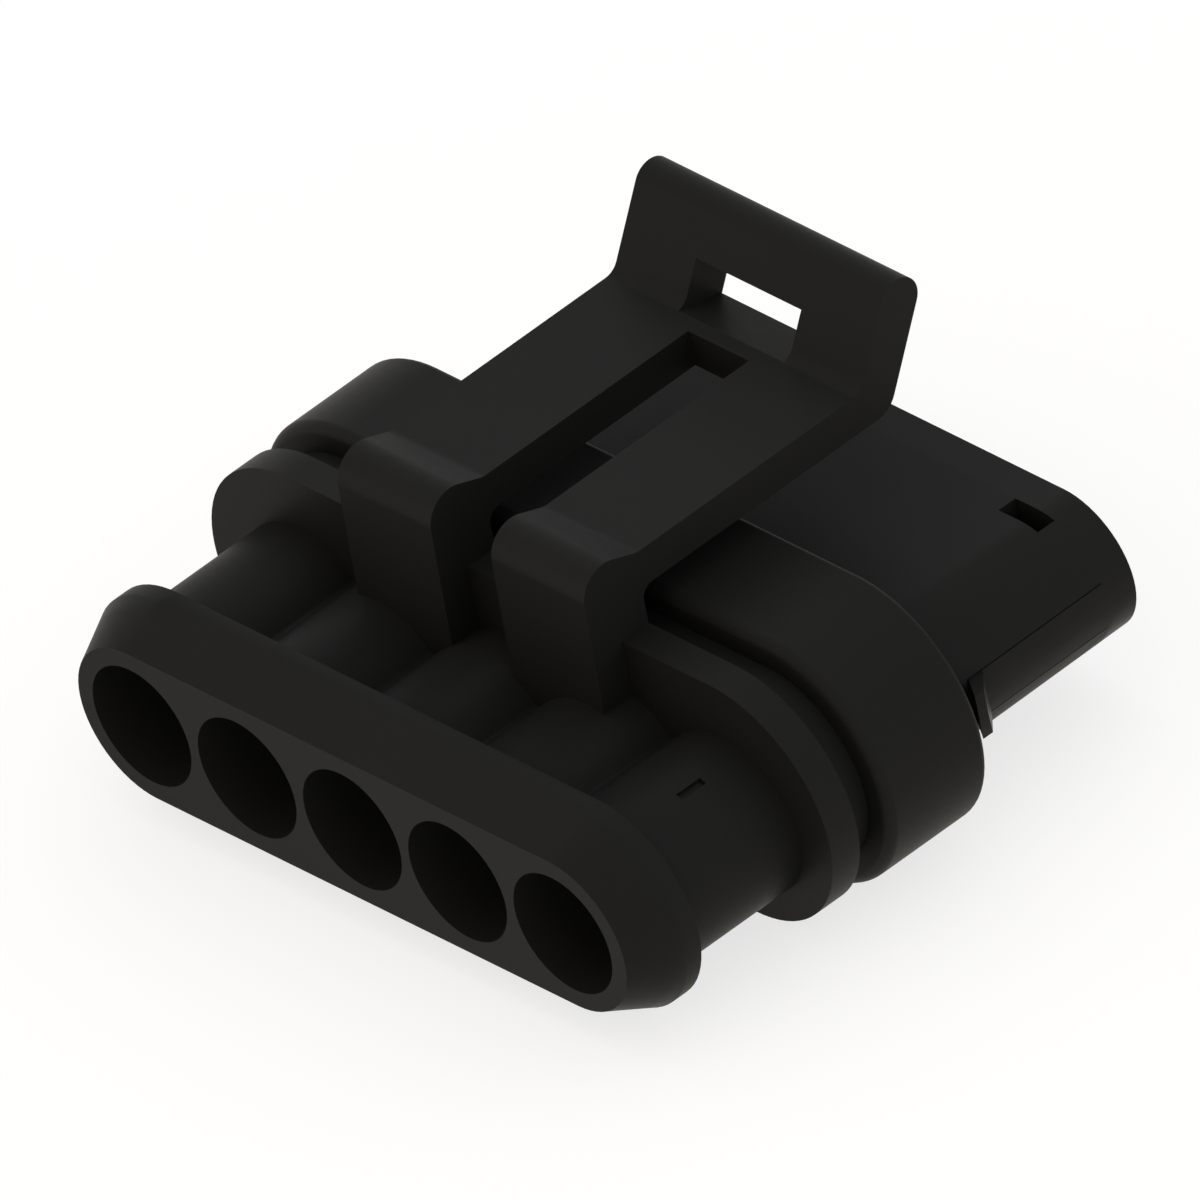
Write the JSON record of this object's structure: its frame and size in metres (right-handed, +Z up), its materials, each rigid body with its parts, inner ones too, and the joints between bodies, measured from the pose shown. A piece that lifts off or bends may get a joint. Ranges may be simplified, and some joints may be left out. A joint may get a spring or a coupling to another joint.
{
  "type": "connector housing",
  "caption": "Black sealed plug housing: a row of round cable cavities, a collared nose, a latch arm with a thumb tab and a sliding secondary lock.",
  "frame": {"origin": "centre of the underside of the part's box, on the surface it rests on", "axes": "+X along the row of cavities, +Y from the cable end to the mating end, +Z up towards the latch"},
  "size_m": [0.0356, 0.0282, 0.0184],
  "materials": {
    "housing_nylon": "satin moulded, black",
    "lock_polyester": "smooth moulded, black",
    "seal_silicone": "soft, smooth, oiled"
  },
  "bodies": {
    "housing": {"housing": "housing_nylon", "interface_seal": "seal_silicone"},
    "secondary_lock": {"secondary_lock": "lock_polyester"}
  },
  "joints": [
    {"name": "lock_slide", "type": "slide", "parent": "housing", "child": "secondary_lock", "axis": [0, 1, 0], "range_m": [0, 0.0012]}
  ]
}
